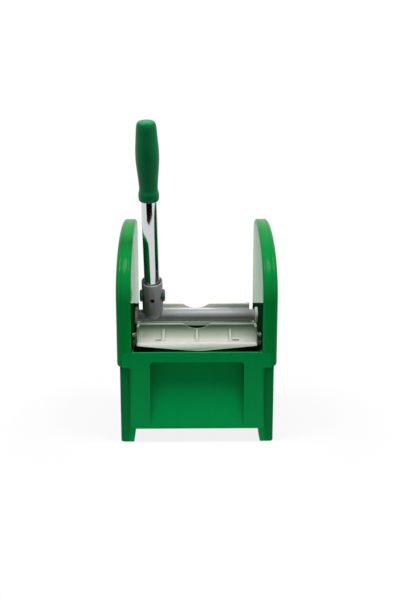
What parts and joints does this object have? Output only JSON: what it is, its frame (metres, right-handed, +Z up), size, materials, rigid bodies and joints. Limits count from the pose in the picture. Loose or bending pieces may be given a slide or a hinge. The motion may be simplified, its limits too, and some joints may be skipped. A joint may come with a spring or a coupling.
{
  "type": "down-press mop wringer",
  "caption": "Down-press mop wringer: a lever turns a geared cross bar that slides two jaws together to squeeze a mop over an open-bottomed body.",
  "frame": {"origin": "on the floor under the middle of the footprint", "axes": "+X to the right seen from the lever side's front, +Y to the back, +Z up; the lever leans towards -Y"},
  "size_m": [0.286, 0.24, 0.5746],
  "materials": {
    "green_plastic": "moulded, satin gloss",
    "grip_plastic": "soft satin",
    "button_plastic": "satin",
    "jaw_plastic": "moulded, matt",
    "white_plastic": "moulded, matt",
    "grey_metal": "satin grey",
    "socket_metal": "cast, satin grey",
    "chrome": "polished",
    "gear_steel": "machined, oiled",
    "fastener_steel": "zinc plated"
  },
  "bodies": {
    "frame": {"body": "green_plastic", "inner_shell_left": "green_plastic", "inner_shell_right": "green_plastic", "outer_cover_left": "green_plastic", "outer_cover_right": "green_plastic", "cover_screws_left": "fastener_steel", "cover_screws_right": "fastener_steel", "seat_screws": "fastener_steel", "bar_bush_left": "white_plastic", "bar_bush_right": "white_plastic"},
    "lever": {"torque_bar": "grey_metal", "lever_socket": "socket_metal", "socket_screw": "fastener_steel", "lever_tube": "chrome", "grip": "grip_plastic", "button_spring": "fastener_steel", "pinion_left": "gear_steel", "pinion_right": "gear_steel"},
    "button_left": {"lock_button_left": "button_plastic"},
    "button_right": {"lock_button_right": "button_plastic"},
    "front_jaw_slide": {"front_jaw": "jaw_plastic", "front_jaw_pins": "fastener_steel", "front_guide_sleeves": "white_plastic", "front_rack_left": "gear_steel", "front_rack_right": "gear_steel"},
    "rear_jaw_slide": {"rear_jaw": "jaw_plastic", "rear_jaw_pins": "fastener_steel", "rear_guide_sleeves": "white_plastic", "rear_rack_left": "gear_steel", "rear_rack_right": "gear_steel"}
  },
  "joints": [
    {"name": "lever_turn", "type": "hinge", "parent": "frame", "child": "lever", "pos_m": [0, 0, 0.21], "axis": [1, 0, 0], "range_deg": [-20, 46]},
    {"name": "front_jaw_travel", "type": "slide", "parent": "frame", "child": "front_jaw_slide", "axis": [0, 1, 0], "range_m": [-0.0095, 0.0217]},
    {"name": "rear_jaw_travel", "type": "slide", "parent": "frame", "child": "rear_jaw_slide", "axis": [0, -1, 0], "range_m": [-0.0095, 0.0217]},
    {"name": "left_button_press", "type": "slide", "parent": "lever", "child": "button_left", "axis": [0.9999, -0.0027, 0.0101], "range_m": [0, 0.0022], "stiffness_N_per_m": 800, "springref_m": -0.002, "deforming": ["button_spring"]},
    {"name": "right_button_press", "type": "slide", "parent": "lever", "child": "button_right", "axis": [-0.9999, 0.0027, -0.0101], "range_m": [0, 0.0022], "stiffness_N_per_m": 800, "springref_m": -0.002, "deforming": ["button_spring"]}
  ],
  "couplings": [
    {"joint": "front_jaw_travel", "follows": "lever_turn", "m_per_rad": 0.027},
    {"joint": "rear_jaw_travel", "follows": "lever_turn", "m_per_rad": 0.027}
  ]
}
